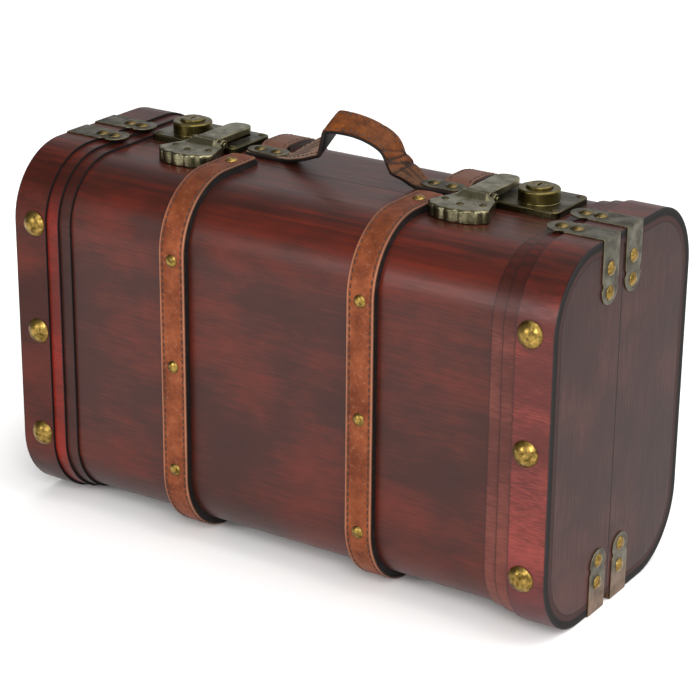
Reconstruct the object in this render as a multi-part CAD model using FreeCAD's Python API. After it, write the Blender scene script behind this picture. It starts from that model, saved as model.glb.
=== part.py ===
import FreeCAD, Part
import math
import os
from collections import namedtuple

# Wooden travel case with two key latches, standing on its hinge edge. Millimetres, +Z up.
# Two bent-plywood shells meet at a vertical parting plane. The rear shell carries the locks and the
# handle. The lid is the front shell, and it swings on hinges under the case.
# The origin is on the floor under the middle of the case, +X runs to the right and -Y to the front.

# Case body
length = 442.0
body_height = 270.0
front_depth = 92.0
rear_depth = 102.0
corner_radius = 52.0
skin_thickness = 4.0
end_panel_thickness = 5.0
panel_clearance = 0.2
parting_gap = 0.4

# Banding at each end, three plies that step down towards the middle
ply_thickness = 1.9
outer_band_width = 28.0
middle_step_width = 10.0
base_step_width = 9.5
hinge_edge_setback = 4.2

# Leather straps on backing strips
strap_width = 21.5
leather_thickness = 2.2
backing_thickness = 3.6
strap_hasp_gap = 1.8
strap_top_gap = 3.0
strap_handle_gap = 10.0

# Dome nails in the bands and studs in the straps
nail_head_radius = 9.5
nail_head_height = 5.2
nail_shank_radius = 1.3
nail_shank_length = 7.5
nail_end_distance = 17.5
nail_rises = {"left": (84.0, 2.0, -79.0), "right": (86.5, 4.5, -85.0)}
stud_head_radius = 4.75
stud_head_height = 2.2
stud_shank_radius = 1.0
stud_shank_length = 7.0
stud_top_distance = 20.0
lid_stud_rises = {"left": (80.0, 1.0, -78.0), "right": (82.5, -2.0, -85.5)}
rear_stud_rises = (108.0, 36.0, -36.0, -108.0)

# Corner brackets
bracket_thickness = 1.0
bracket_leg = 47.0
bracket_width = 22.0
bracket_setback = 5.3
bracket_top_shift = -3.0
bracket_neck_length = 6.0
bracket_neck_depth = 1.6
bracket_bend_radius = 0.8
rivet_head_radius = 5.2
rivet_head_height = 2.4
rivet_shank_radius = 1.3
rivet_shank_length = 5.4
end_rivet_pitch = 16.6
end_rivet_margin = 8.0
flat_rivet_pitch = 11.2
flat_rivet_margin = 10.3

# Hinges under the case
hinge_length = 44.0
hinge_leaf_width = 15.0
hinge_leaf_thickness = 1.2
knuckle_radius = 2.3
knuckle_gap = 0.4
knuckle_skin_clearance = 0.3
hinge_pin_radius = 1.2
hinge_screw_pitch = 15.0
leaf_inner_edge = 0.6

# Locks, measured from the lever's middle, the parting plane and the top of the skin
hardware_shift = -2.0
lock_band_gap = 1.5
lock_case_length = 76.0
lock_case_depth = 46.5
lock_case_height = 5.2
lock_case_corner = 5.0
lock_case_edge = 1.0
lock_case_front = 5.2
lever_inset = 19.0
slot_inner_half = 8.5
slot_bolt_side = 4.3
slot_end = 44.0
slot_corner = 4.0
boss_offset = 32.5
boss_rear = 25.0
boss_radius = 14.5
boss_height = 9.0
boss_edge = 1.2
boss_recess_radius = 9.5
boss_recess_depth = 1.2
plug_head_radius = 9.0
plug_head_rise = 2.0
plug_head_edge = 0.8
plug_body_radius = 7.0
keyhole_length = 7.0
keyhole_width = 2.4
keyhole_depth = 2.2
key_dot_radius = 1.2
key_dot_offset = 5.6
cam_radius = 3.6
cam_pin_radius = 1.2
cam_slot_clearance = 0.35

# Sliding bolt and the tongue that it holds
bolt_travel = 2 * cam_radius * math.sin(math.pi / 4)
bolt_rear = 21.0
bolt_width = 9.0
bolt_tip_width = 4.4
bolt_tip_length = 7.0
bolt_tail = 7.0
bolt_thickness = 1.9
bolt_clearance = 0.1
bolt_retreat = 0.6
tongue_thickness = 3.0
tongue_offset = 2.1
tongue_depth = 10.0
tongue_floor_gap = 0.3
tongue_toe = 1.2
eye_clearance = 0.25

# Hasps
hasp_half_width = 22.5
hasp_back_half = 15.5
hasp_thickness = 9.5
hasp_back = 4.2
hasp_side_front = 24.5
hasp_reach = 13.2
hasp_lobes = 7
hasp_lobe_bulge = 1.3
hasp_edge = 0.8
hood_base_width = 27.0
hood_top_width = 19.0
hood_base_depth = 9.0
hood_top_depth = 1.4
hood_rise = 3.6
hasp_pin_rear = 0.5
hasp_pin_rise = 8.5
hasp_pin_radius = 1.5
hasp_pin_overhang = 0.8
barrel_radius = 4.0
lever_length = 44.5
lever_front_width = 19.0
lever_end_width = 19.0
lever_thickness = 5.2
lever_end_corner = 8.0
lug_thickness = 4.0
lug_side_gap = 0.3
lug_radius = 3.6
lug_floor_gap = 2.5

# Screws of the locks, hasps and hinges
screw_head_radius = 2.8
screw_head_height = 0.9
screw_shank_radius = 1.2
screw_bite = 3.2
screw_inset = 4.8
cross_width = 0.7
cross_length = 3.6
cross_depth = 0.6
hasp_screw_spread = 14.5
hasp_screw_side = 19.5
hasp_screw_middle = 25.0

# Leather handle and its two plates
handle_thickness = 3.4
handle_width = 23.0
handle_tab_width = 15.0
handle_rise = 36.0
handle_forward = 9.2
handle_lean = 27.0
handle_rear = 19.5
handle_tab_end = 2.0
handle_tab_start = 1.5
handle_plate_length = 33.0
handle_plate_width = 16.5
handle_plate_thickness = 1.2
handle_plate_flat = 0.4
handle_lock_gap = 4.0
handle_rivet_radius = 4.6
handle_rivet_height = 2.2
handle_rivet_shank = 1.3
handle_rivet_pitch = 14.5
# Where the leather passes: share of the half span, of the rise, of the lean and of the full width
handle_stations = (
    (-1.000, 0.00, 0.00, 0.05),
    (-0.345, 0.33, 0.45, 0.40),
    (-0.285, 0.63, 0.80, 0.85),
    (-0.235, 0.99, 1.00, 1.00),
    (-0.045, 1.00, 0.85, 1.00),
    (0.155, 0.96, 0.68, 1.00),
    (0.335, 0.89, 0.57, 1.00),
    (0.490, 0.79, 0.50, 1.00),
    (0.580, 0.67, 0.38, 1.00),
    (0.635, 0.52, 0.32, 1.00),
    (0.755, 0.37, 0.72, 1.00),
    (1.000, 0.00, 0.00, 0.40),
)

# Fits shared by every piece
pin_clearance = 0.05
hole_clearance = 0.03
hole_end_gap = 0.3
drill_overrun = 2.0
edge_tolerance = 0.01

# Places worked out from the sizes above
band_height = 3 * ply_thickness
parting_y = (front_depth - rear_depth) / 2
floor_gap = bracket_thickness
skin_top = floor_gap + body_height - band_height
skin_bottom = floor_gap + band_height
middle_z = floor_gap + body_height / 2
half_length = length / 2
outer_band_edge = half_length - outer_band_width
middle_band_edge = outer_band_edge - middle_step_width
base_band_edge = middle_band_edge - base_step_width
lock_outer = base_band_edge - lock_band_gap - abs(hardware_shift)
lock_inner = lock_outer - lock_case_length
lever_x = lock_inner + lever_inset
strap_x = lever_x - hasp_half_width - strap_hasp_gap - strap_width / 2
hinge_x = (strap_x + strap_width / 2 + base_band_edge) / 2
hinge_axis_z = skin_bottom - knuckle_skin_clearance - knuckle_radius
plate_outer = lock_inner - handle_lock_gap
plate_inner = plate_outer - handle_plate_length
handle_plate_x = (plate_outer + plate_inner) / 2
rear_strap_gap = handle_rear + max(handle_plate_width, handle_tab_width) / 2 + strap_handle_gap
toe_bottom = tongue_floor_gap
eye_bottom = toe_bottom + tongue_toe
bolt_bottom = eye_bottom + eye_clearance
bolt_top = bolt_bottom + bolt_thickness
eye_top = bolt_top + eye_clearance
plug_tail = bolt_top + 2 * bolt_clearance
boss_top = lock_case_height + boss_height

Half = namedtuple("Half", "name sign depth")
Spot = namedtuple("Spot", "point normal")
lid = Half("lid", -1, front_depth)
rear = Half("rear", 1, rear_depth)
halves = (lid, rear)
sides = {"left": -1, "right": 1}
heights = {"top": 1, "bottom": -1}
nodes = {}


def vec(x, y, z):
    return FreeCAD.Vector(x, y, z)


def line(start, end):
    return Part.LineSegment(start, end).toShape()


def arc(start, middle, end):
    return Part.Arc(start, middle, end).toShape()


def box(x_low, x_high, y_low, y_high, z_low, z_high):
    return Part.makeBox(x_high - x_low, y_high - y_low, z_high - z_low, vec(x_low, y_low, z_low))


def rod(radius, start, end):
    return Part.makeCylinder(radius, (end - start).Length, start, end - start)


def group(solids):
    return Part.makeCompound(solids)


def join(first, others):
    return first.fuse(others).removeSplitter().Solids[0]


# Sections of the bent layers, from the parting plane at the top, round the wall, to the one below

def section_run(half, inset, top_gap, bottom_gap):
    """Edges of the surface that lies inset inside the outer face of the bands."""
    radius = corner_radius - inset
    wall = parting_y + half.sign * (half.depth - inset)
    bend = wall - half.sign * radius
    top = floor_gap + body_height - inset
    bottom = floor_gap + inset
    diagonal = radius * math.sqrt(0.5)
    bulge = bend + half.sign * diagonal
    start = vec(0, parting_y + half.sign * top_gap, top)
    end = vec(0, parting_y + half.sign * bottom_gap, bottom)
    top_bend = vec(0, bend, top)
    wall_top = vec(0, wall, top - radius)
    wall_bottom = vec(0, wall, bottom + radius)
    bottom_bend = vec(0, bend, bottom)
    upper = vec(0, bulge, top - radius + diagonal)
    lower = vec(0, bulge, bottom + radius - diagonal)
    return [
        line(start, top_bend),
        arc(top_bend, upper, wall_top),
        line(wall_top, wall_bottom),
        arc(wall_bottom, lower, bottom_bend),
        line(bottom_bend, end),
    ]


def extrude_x(edges, x_low, x_high):
    face = Part.Face(Part.Wire(edges))
    face.translate(vec(x_low, 0, 0))
    return face.extrude(vec(x_high - x_low, 0, 0))


def bent_layer(half, inset, thickness, x_low, x_high, top_gap, bottom_gap):
    outer = section_run(half, inset, top_gap, bottom_gap)
    inner = section_run(half, inset + thickness, top_gap, bottom_gap)
    bottom_edge = line(outer[-1].Vertexes[-1].Point, inner[-1].Vertexes[-1].Point)
    top_edge = line(inner[0].Vertexes[0].Point, outer[0].Vertexes[0].Point)
    return extrude_x(outer + [bottom_edge] + inner[::-1] + [top_edge], x_low, x_high)


def end_panel(half, side):
    inset = band_height + skin_thickness + panel_clearance
    edges = section_run(half, inset, parting_gap / 2, parting_gap / 2)
    seam = line(edges[-1].Vertexes[-1].Point, edges[0].Vertexes[0].Point)
    outer = side * half_length
    inner = side * (half_length - end_panel_thickness)
    return extrude_x(edges + [seam], min(outer, inner), max(outer, inner))


def band(half, side, layer, inner_edge):
    """One ply of the banding: layer 0 is the outermost."""
    edges = sorted((side * half_length, side * inner_edge))
    return bent_layer(half, layer * ply_thickness, ply_thickness, edges[0], edges[1],
                      parting_gap / 2, hinge_edge_setback)


def strap_centre(side):
    return side * strap_x + hardware_shift


def strap_layer(half, side, inset, thickness):
    top_gap = strap_top_gap if half is lid else rear_strap_gap
    middle = strap_centre(side)
    return bent_layer(half, inset, thickness, middle - strap_width / 2, middle + strap_width / 2,
                      top_gap, hinge_edge_setback)


# Fasteners

def dome(radius, height):
    ball = (radius ** 2 + height ** 2) / (2 * height)
    half_angle = math.asin(radius / ball) / 2
    shoulder = vec(ball * math.sin(half_angle), 0, height - ball + ball * math.cos(half_angle))
    rim = vec(radius, 0, 0)
    crown = vec(0, 0, height)
    foot = vec(0, 0, 0)
    profile = Part.Face(Part.Wire([line(foot, rim), arc(rim, shoulder, crown), line(crown, foot)]))
    return profile.revolve(foot, vec(0, 0, 1), 360)


def dome_nail(head_radius, head_height, shank_radius, shank_length):
    shank = rod(shank_radius, vec(0, 0, -shank_length), vec(0, 0, 0))
    return join(dome(head_radius, head_height), [shank])


def cross_screw(grip):
    """Round-headed screw whose shank passes grip of metal and bites into the wood."""
    screw = dome_nail(screw_head_radius, screw_head_height, screw_shank_radius, grip + screw_bite)
    low = screw_head_height - cross_depth
    slots = [
        box(-cross_length / 2, cross_length / 2, -cross_width / 2, cross_width / 2, low, screw_head_height),
        box(-cross_width / 2, cross_width / 2, -cross_length / 2, cross_length / 2, low, screw_head_height),
    ]
    return screw.cut(slots).Solids[0]


def seat(shape, spot):
    placed = shape.copy()
    placed.Placement = FreeCAD.Placement(spot.point, FreeCAD.Rotation(vec(0, 0, 1), spot.normal))
    return placed


def seat_all(shape, spots):
    return group([seat(shape, spot) for spot in spots])


def drill(solid, spots, shank_radius, depth):
    cutters = []
    for spot in spots:
        outside = spot.point + spot.normal * drill_overrun
        tip = spot.point - spot.normal * (depth + hole_end_gap)
        cutters.append(rod(shank_radius + hole_clearance, outside, tip))
    return solid.cut(cutters).Solids[0] if cutters else solid


def wall_spot(half, x, rise, inset):
    """A point on the layer's outer face at a rise above the middle, on the wall or on its bends."""
    radius = corner_radius - inset
    straight = body_height / 2 - inset - radius
    over = max(0.0, abs(rise) - straight)
    angle = math.asin(min(1.0, over / radius))
    up = math.copysign(1.0, rise)
    bend_y = parting_y + half.sign * (half.depth - inset - radius)
    normal = vec(0, half.sign * math.cos(angle), up * math.sin(angle))
    foot = vec(x, bend_y, middle_z + up * min(abs(rise), straight))
    return Spot(foot + normal * radius, normal)


def nail_spots(half):
    spots = []
    for name, side in sides.items():
        x = side * (half_length - nail_end_distance)
        spots.extend(wall_spot(half, x, rise, 0.0) for rise in nail_rises[name])
    return spots


def stud_spots(half, side_name):
    face = band_height - backing_thickness - leather_thickness
    x = strap_centre(sides[side_name])
    rises = lid_stud_rises[side_name] if half is lid else rear_stud_rises
    spots = [wall_spot(half, x, rise, face) for rise in rises]
    if half is lid:
        top_y = parting_y - stud_top_distance
        spots.append(Spot(vec(x, top_y, floor_gap + body_height - face), vec(0, 0, 1)))
    return spots


# Corner brackets

def bracket_leg_plate():
    """One flat leg: it runs along -X from the bend and ends in a rounded lobe."""
    half = bracket_width / 2
    lobe = bracket_leg - half
    neck = lobe - bracket_neck_length
    middle = lobe - bracket_neck_length / 2
    waist = half - bracket_neck_depth
    edges = [
        line(vec(0, -half, 0), vec(-neck, -half, 0)),
        arc(vec(-neck, -half, 0), vec(-middle, -waist, 0), vec(-lobe, -half, 0)),
        arc(vec(-lobe, -half, 0), vec(-bracket_leg, 0, 0), vec(-lobe, half, 0)),
        arc(vec(-lobe, half, 0), vec(-middle, waist, 0), vec(-neck, half, 0)),
        line(vec(-neck, half, 0), vec(0, half, 0)),
        line(vec(0, half, 0), vec(0, -half, 0)),
    ]
    return Part.Face(Part.Wire(edges)).extrude(vec(0, 0, -bracket_thickness))


def bracket():
    """Top right bracket with the outside of its bend at the origin."""
    top = bracket_leg_plate()
    end = bracket_leg_plate()
    end.rotate(vec(0, 0, 0), vec(0, 1, 0), -90)
    end = end.mirror(vec(0, 0, 0), vec(1, 0, 0))
    angle = join(top, [end])
    top_edges = top_rim(angle, 0.0)
    bend = [edge for edge in top_edges if edge.BoundBox.XMin > -edge_tolerance]
    return angle.makeFillet(bracket_bend_radius, bend)


def bracket_y(half, up):
    shift = bracket_top_shift if up > 0 else 0.0
    return parting_y + half.sign * (bracket_setback + bracket_width / 2) + shift


def place_bracket(half, side, up):
    piece = bracket()
    if side < 0:
        piece = piece.mirror(vec(0, 0, 0), vec(1, 0, 0))
    if up < 0:
        piece = piece.mirror(vec(0, 0, 0), vec(0, 0, 1))
    corner_z = middle_z + up * (body_height / 2 + bracket_thickness)
    piece.translate(vec(side * (half_length + bracket_thickness), bracket_y(half, up), corner_z))
    return piece.Solids[0]


def rivet_distances(margin, pitch):
    outer = bracket_leg - margin
    return (outer, outer - pitch)


def end_rivet_spots(half, side, up):
    corner_z = middle_z + up * (body_height / 2 + bracket_thickness)
    x = side * (half_length + bracket_thickness)
    y = bracket_y(half, up)
    distances = rivet_distances(end_rivet_margin, end_rivet_pitch)
    return [Spot(vec(x, y, corner_z - up * away), vec(side, 0, 0)) for away in distances]


def flat_rivet_spots(half, side, up):
    z = middle_z + up * (body_height / 2 + bracket_thickness)
    corner_x = half_length + bracket_thickness
    y = bracket_y(half, up)
    distances = rivet_distances(flat_rivet_margin, flat_rivet_pitch)
    return [Spot(vec(side * (corner_x - away), y, z), vec(0, 0, up)) for away in distances]


# Hinges

def hinge_point(x):
    return vec(x, parting_y, hinge_axis_z)


def knuckle_spans():
    """Rear, lid and rear knuckles along one hinge, as distances from its middle."""
    third = hinge_length / 3
    half = hinge_length / 2
    gap = knuckle_gap / 2
    return (
        (rear, -half, -third / 2 - gap),
        (lid, -third / 2 + gap, third / 2 - gap),
        (rear, third / 2 + gap, half),
    )


def hinge_leaf(half, side):
    middle = side * hinge_x
    near = parting_y + half.sign * leaf_inner_edge
    far = parting_y + half.sign * hinge_leaf_width
    leaf = box(middle - hinge_length / 2, middle + hinge_length / 2, min(near, far), max(near, far),
               skin_bottom - hinge_leaf_thickness, skin_bottom)
    bore = rod(hinge_pin_radius + pin_clearance, hinge_point(middle - hinge_length),
               hinge_point(middle + hinge_length))
    knuckles = []
    for owner, low, high in knuckle_spans():
        if owner is half:
            knuckles.append(rod(knuckle_radius, hinge_point(middle + low), hinge_point(middle + high)))
        else:
            clear = rod(knuckle_radius + knuckle_gap, hinge_point(middle + low - knuckle_gap),
                        hinge_point(middle + high + knuckle_gap))
            leaf = leaf.cut(clear)
    return join(leaf, knuckles).cut(bore).Solids[0]


def hinge_screw_spots(half, side):
    y = parting_y + half.sign * (hinge_leaf_width + knuckle_radius) / 2
    z = skin_bottom - hinge_leaf_thickness
    places = [side * hinge_x + step * hinge_screw_pitch for step in (-1, 0, 1)]
    return [Spot(vec(x, y, z), vec(0, 0, -1)) for x in places]


def hinge_pin(side):
    middle = side * hinge_x
    reach = hinge_length / 2
    return rod(hinge_pin_radius, hinge_point(middle - reach), hinge_point(middle + reach))


# Locks and hasps are drawn for the right side: x runs outwards from the lever's middle, y backwards
# from the parting plane and z up from the skin

def place_hardware(shape, side):
    placed = shape.mirror(vec(0, 0, 0), vec(1, 0, 0)) if side < 0 else shape.copy()
    placed.translate(vec(side * lever_x + hardware_shift, parting_y, skin_top))
    return placed.Solids[0]


def hardware_spots(places, side, z):
    corner = vec(side * lever_x + hardware_shift, parting_y, skin_top + z)
    return [Spot(corner + vec(side * x, y, 0), vec(0, 0, 1)) for x, y in places]


def rounded_block(x_low, x_high, y_low, y_high, z_low, z_high, corner):
    block = box(x_low, x_high, y_low, y_high, z_low, z_high)
    upright = [edge for edge in block.Edges if edge.BoundBox.ZLength > (z_high - z_low) / 2]
    return block.makeFillet(corner, upright)


def top_rim(solid, z):
    return [edge for edge in solid.Edges if edge.BoundBox.ZMin > z - edge_tolerance]


def lock_screw_places():
    inner = screw_inset - lever_inset
    outer = lock_case_length - lever_inset - screw_inset
    front = lock_case_front + screw_inset
    back = lock_case_front + lock_case_depth - screw_inset
    return [(inner, front), (inner, back), (outer, front), (outer, back)]


def bolt_rest_tip():
    return slot_bolt_side + bolt_retreat


def bolt_shape(margin, tip, tail):
    """Plan of the bolt between its tip and its tail, grown by a margin."""
    shoulder = tip + bolt_tip_length
    nose = box(tip, shoulder + margin, bolt_rear - bolt_tip_width / 2 - margin,
               bolt_rear + bolt_tip_width / 2 + margin, bolt_bottom - margin, bolt_top + margin)
    bar = box(shoulder - margin, tail + margin, bolt_rear - bolt_width / 2 - margin,
              bolt_rear + bolt_width / 2 + margin, bolt_bottom - margin, bolt_top + margin)
    return nose, bar


def bolt_tail_end():
    return boss_offset + bolt_travel / 2 + bolt_tail


def lock_case():
    block = rounded_block(-lever_inset, lock_case_length - lever_inset, lock_case_front,
                          lock_case_front + lock_case_depth, 0, lock_case_height, lock_case_corner)
    block = block.makeFillet(lock_case_edge, top_rim(block, lock_case_height))
    centre = vec(boss_offset, boss_rear, 0)
    boss = rod(boss_radius, centre + vec(0, 0, lock_case_height / 2), centre + vec(0, 0, boss_top))
    boss = boss.makeFillet(boss_edge, top_rim(boss, boss_top))
    slot = rounded_block(-slot_inner_half, slot_bolt_side, lock_case_front - 2 * slot_corner, slot_end,
                         -lock_case_height, 2 * lock_case_height, slot_corner)
    bore = rod(plug_body_radius + pin_clearance, centre + vec(0, 0, plug_tail - bolt_clearance),
               centre + vec(0, 0, 2 * boss_top))
    recess = rod(boss_recess_radius, centre + vec(0, 0, boss_top - boss_recess_depth),
                 centre + vec(0, 0, 2 * boss_top))
    nose, bar = bolt_shape(bolt_clearance, bolt_rest_tip() - bolt_travel, bolt_tail_end())
    case = join(block, [boss])
    return case.cut([slot, bore, recess, nose, bar]).Solids[0]


def key_plug():
    """Plug with its head, keyhole and the cam pin at its unlocked place."""
    head_low = boss_top - boss_recess_depth + pin_clearance
    head_high = boss_top + plug_head_rise
    centre = vec(boss_offset, boss_rear, 0)
    body = rod(plug_body_radius, centre + vec(0, 0, plug_tail), centre + vec(0, 0, head_low))
    head = rod(plug_head_radius, centre + vec(0, 0, head_low), centre + vec(0, 0, head_high))
    head = head.makeFillet(plug_head_edge, top_rim(head, head_high))
    throw = bolt_travel / 2
    cam = centre + vec(throw, -throw, 0)
    pin = rod(cam_pin_radius, cam + vec(0, 0, bolt_bottom + bolt_clearance), cam + vec(0, 0, plug_tail))
    low = head_high - keyhole_depth
    cuts = [box(boss_offset - keyhole_width / 2, boss_offset + keyhole_width / 2,
                boss_rear - keyhole_length / 2, boss_rear + keyhole_length / 2, low, 2 * head_high)]
    for side in sides.values():
        dot = centre + vec(side * key_dot_offset, 0, low)
        cuts.append(rod(key_dot_radius, dot, dot + vec(0, 0, 2 * keyhole_depth)))
    return join(head, [body, pin]).cut(cuts).Solids[0]


def lock_bolt():
    nose, bar = bolt_shape(0.0, bolt_rest_tip(), bolt_tail_end())
    throw = bolt_travel / 2
    half_slot = cam_pin_radius + cam_slot_clearance
    slot_x = boss_offset + throw
    near = boss_rear - cam_radius - half_slot
    far = boss_rear - throw + half_slot
    cam_slot = box(slot_x - half_slot, slot_x + half_slot, near, far, 0, 2 * bolt_top)
    return join(bar, [nose]).cut(cam_slot).Solids[0]


def hasp_screw_places():
    sides_out = [(side * hasp_screw_spread, -hasp_screw_side) for side in sides.values()]
    return sides_out + [(0.0, -hasp_screw_middle)]


def hasp_outline():
    """Plan of the hasp plate: it spreads like a fan from its straight back to a lobed front."""
    def front_point(angle, swell):
        across = (hasp_half_width + swell) * math.cos(angle)
        forward = hasp_side_front + (hasp_reach + swell) * math.sin(angle)
        return vec(across, -forward, 0)

    lobe = math.pi / hasp_lobes
    back_right = vec(hasp_back_half, -hasp_back, 0)
    back_left = vec(-hasp_back_half, -hasp_back, 0)
    edges = [line(back_left, back_right), line(back_right, front_point(0.0, 0.0))]
    for index in range(hasp_lobes):
        start = front_point(index * lobe, 0.0)
        crest = front_point((index + 0.5) * lobe, hasp_lobe_bulge)
        end = front_point((index + 1) * lobe, 0.0)
        edges.append(arc(start, crest, end))
    edges.append(line(front_point(math.pi, 0.0), back_left))
    return edges


def rectangle(x_half, y_low, y_high, z):
    corners = [vec(-x_half, y_low, z), vec(x_half, y_low, z), vec(x_half, y_high, z), vec(-x_half, y_high, z)]
    return Part.makePolygon(corners + corners[:1])


def hasp_pin_point(x):
    return vec(x, hasp_pin_rear, hasp_pin_rise)


def lug_inner():
    return lever_front_width / 2 + lug_side_gap


def hasp_plate():
    plate = Part.Face(Part.Wire(hasp_outline())).extrude(vec(0, 0, hasp_thickness))
    plate = plate.makeChamfer(hasp_edge, top_rim(plate, hasp_thickness))
    hood_bottom = hasp_thickness - hasp_edge
    hood = Part.makeLoft([
        rectangle(hood_base_width / 2, -hasp_back - hood_base_depth, -hasp_back, hood_bottom),
        rectangle(hood_top_width / 2, -hasp_back - hood_top_depth, -hasp_back, hasp_thickness + hood_rise),
    ], True, True)
    pieces = [hood]
    for side in sides.values():
        x_inner = side * lug_inner()
        x_outer = side * (lug_inner() + lug_thickness)
        ear = rod(lug_radius, hasp_pin_point(x_inner), hasp_pin_point(x_outer))
        root = box(min(x_inner, x_outer), max(x_inner, x_outer), -hasp_back - hood_base_depth / 2,
                   hasp_pin_rear, lug_floor_gap, hasp_pin_rise + lug_radius / 2)
        pieces.extend([ear, root])
    bore = rod(hasp_pin_radius + pin_clearance, hasp_pin_point(-hasp_half_width),
               hasp_pin_point(hasp_half_width))
    return join(plate, pieces).cut(bore).Solids[0]


def hasp_pin():
    reach = lug_inner() + lug_thickness + hasp_pin_overhang
    return rod(hasp_pin_radius, hasp_pin_point(-reach), hasp_pin_point(reach))


def hasp_lever():
    """Thick lever with its barrel on the pin and the tongue that enters the lock."""
    top = hasp_pin_rise + barrel_radius
    low = top - lever_thickness
    end = hasp_pin_rear + lever_length
    front_half = lever_front_width / 2
    end_half = lever_end_width / 2
    corners = [vec(-front_half, hasp_pin_rear, low), vec(front_half, hasp_pin_rear, low),
               vec(end_half, end, low), vec(-end_half, end, low)]
    blade = Part.Face(Part.makePolygon(corners + corners[:1])).extrude(vec(0, 0, lever_thickness))
    far_edges = [edge for edge in blade.Edges if edge.BoundBox.YMin > end - edge_tolerance]
    corners_out = [edge for edge in far_edges if edge.BoundBox.ZLength > lever_thickness / 2]
    blade = blade.makeFillet(lever_end_corner, corners_out)
    barrel = rod(barrel_radius, hasp_pin_point(-front_half), hasp_pin_point(front_half))
    tongue_x = tongue_offset - tongue_thickness / 2
    tongue = box(tongue_x, tongue_x + tongue_thickness, bolt_rear - tongue_depth / 2,
                 bolt_rear + tongue_depth / 2, toe_bottom, top - lever_thickness / 2)
    eye_half = bolt_tip_width / 2 + eye_clearance
    eye = box(tongue_x - drill_overrun, tongue_x + tongue_thickness + drill_overrun,
              bolt_rear - eye_half, bolt_rear + eye_half, eye_bottom, eye_top)
    bore = rod(hasp_pin_radius + pin_clearance, hasp_pin_point(-lever_front_width),
               hasp_pin_point(lever_front_width))
    return join(blade, [barrel, tongue]).cut([bore, eye]).Solids[0]


# Handle

def handle_path():
    """Middle line of the leather with its lean and width, from the left tab to the right one."""
    flat = skin_top + handle_thickness / 2
    end = plate_outer - handle_tab_end
    half_span = plate_inner - handle_tab_start
    stations = [(-end, flat, 0.0, handle_tab_width)]
    for share, rise, lean, spread in handle_stations:
        width = handle_tab_width + (handle_width - handle_tab_width) * spread
        stations.append((share * half_span, flat + rise * handle_rise, lean, width))
    stations.append((end, flat, 0.0, handle_tab_width))
    return stations


def square_to(direction, across):
    """The part of a direction that is square to the strap's width."""
    return (direction - across * direction.dot(across)).normalize()


def handle_strap():
    stations = handle_path()
    points = []
    for x, z, lean, width in stations:
        points.append(vec(x + hardware_shift, parting_y + handle_rear - lean * handle_forward, z))
    last = len(points) - 1
    wires = []
    for index, (x, z, lean, width) in enumerate(stations):
        tilt = math.radians(lean * handle_lean)
        across = vec(0, math.cos(tilt), math.sin(tilt))
        start = min(index, last - 1)
        end = max(index, 1)
        after = square_to(points[start + 1] - points[start], across)
        before = square_to(points[end] - points[end - 1], across)
        tangent = (before + after).normalize()
        miter = tangent.dot(after)
        side_step = across * (width / 2)
        skin_step = tangent.cross(across) * (handle_thickness / 2 / miter)
        middle = points[index]
        corners = [middle - side_step - skin_step, middle + side_step - skin_step,
                   middle + side_step + skin_step, middle - side_step + skin_step]
        wires.append(Part.makePolygon(corners + corners[:1]))
    return Part.makeLoft(wires, True, True)


def handle_plate(side):
    x = side * handle_plate_x + hardware_shift
    y = parting_y + handle_rear
    low = skin_top + handle_thickness
    radius = handle_plate_width / 2
    plate = box(x - handle_plate_length / 2, x + handle_plate_length / 2, y - radius, y + radius,
                low, low + handle_plate_thickness)
    upright = [edge for edge in plate.Edges if edge.BoundBox.ZLength > handle_plate_thickness / 2]
    return plate.makeFillet(radius - handle_plate_flat / 2, upright)


def handle_rivet_spots(side):
    x = side * handle_plate_x + hardware_shift
    z = skin_top + handle_thickness + handle_plate_thickness
    y = parting_y + handle_rear
    return [Spot(vec(x + step * handle_rivet_pitch / 2, y, z), vec(0, 0, 1)) for step in (-1, 1)]


# Assembly of the two shells

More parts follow.
